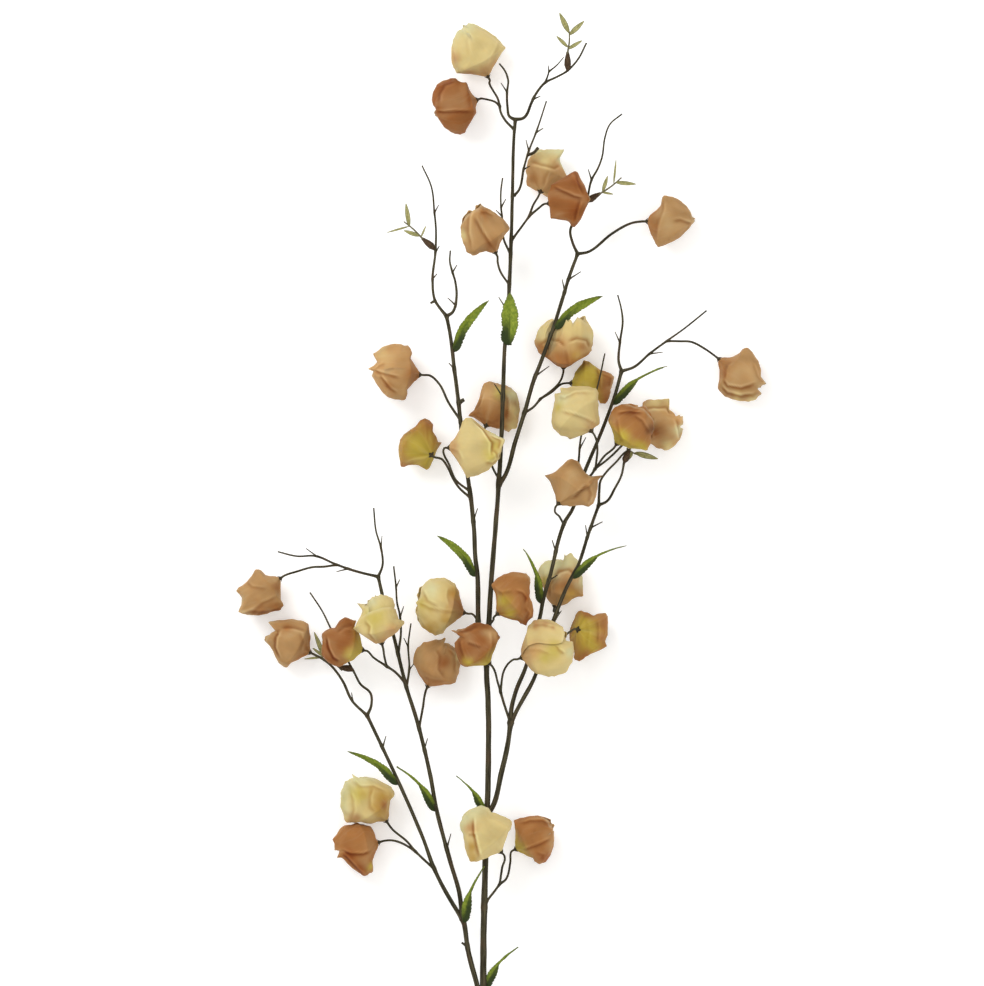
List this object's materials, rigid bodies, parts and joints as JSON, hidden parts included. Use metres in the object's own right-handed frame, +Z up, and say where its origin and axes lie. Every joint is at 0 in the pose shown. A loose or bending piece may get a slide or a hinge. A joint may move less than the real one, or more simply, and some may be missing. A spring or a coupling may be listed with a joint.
{
  "type": "chinese lantern stem",
  "caption": "Long cut branch of Chinese lantern lying on a surface: forked brown stems hung with open papery husks in tan and cream, with green leaves and small pale leaf sprigs.",
  "frame": {"origin": "on the surface the stem lies on, under the middle of its bounding box", "axes": "+Y up the stem from its cut end to its top, +X to the right as seen from above, +Z up from the surface"},
  "size_m": [0.478, 1.0565, 0.1082],
  "materials": {
    "bark": "matt brown bark with fine lengthwise streaks",
    "husk_tan": "matt papery husk, tan to orange-brown",
    "husk_cream": "matt papery husk, cream to yellow",
    "leaf": "satin green leaf with a pale midrib",
    "sprig": "matt pale olive leaflets"
  },
  "bodies": {
    "root": {"main_stem": "bark", "spray_upper_right": "bark", "spray_upper_left": "bark", "spray_lower_right": "bark", "spray_lower_left": "bark", "lantern_01": "husk_cream", "lantern_02": "husk_tan", "lantern_03": "husk_cream", "lantern_04": "husk_tan", "lantern_05": "husk_tan", "lantern_06": "husk_tan", "lantern_07": "husk_tan", "lantern_08": "husk_tan", "lantern_09": "husk_cream", "lantern_10": "husk_tan", "lantern_11": "husk_cream", "lantern_12": "husk_tan", "lantern_13": "husk_cream", "lantern_14": "husk_tan", "lantern_15": "husk_tan", "lantern_16": "husk_tan", "lantern_17": "husk_tan", "lantern_18": "husk_tan", "lantern_19": "husk_tan", "lantern_20": "husk_tan", "lantern_21": "husk_tan", "lantern_22": "husk_cream", "lantern_23": "husk_tan", "lantern_24": "husk_tan", "lantern_25": "husk_cream", "lantern_26": "husk_tan", "lantern_27": "husk_tan", "lantern_28": "husk_cream", "lantern_29": "husk_cream", "lantern_30": "husk_tan", "lantern_31": "husk_cream", "lantern_32": "husk_tan", "leaf_01": "leaf", "leaf_02": "leaf", "leaf_03": "leaf", "leaf_04": "leaf", "leaf_05": "leaf", "leaf_06": "leaf", "leaf_07": "leaf", "leaf_08": "leaf", "leaf_09": "leaf", "leaf_10": "leaf", "leaf_11": "leaf", "leaf_12": "leaf", "sprig_01": "sprig", "sprig_02": "sprig", "sprig_03": "sprig", "sprig_04": "sprig", "sprig_05": "sprig"}
  },
  "joints": []
}
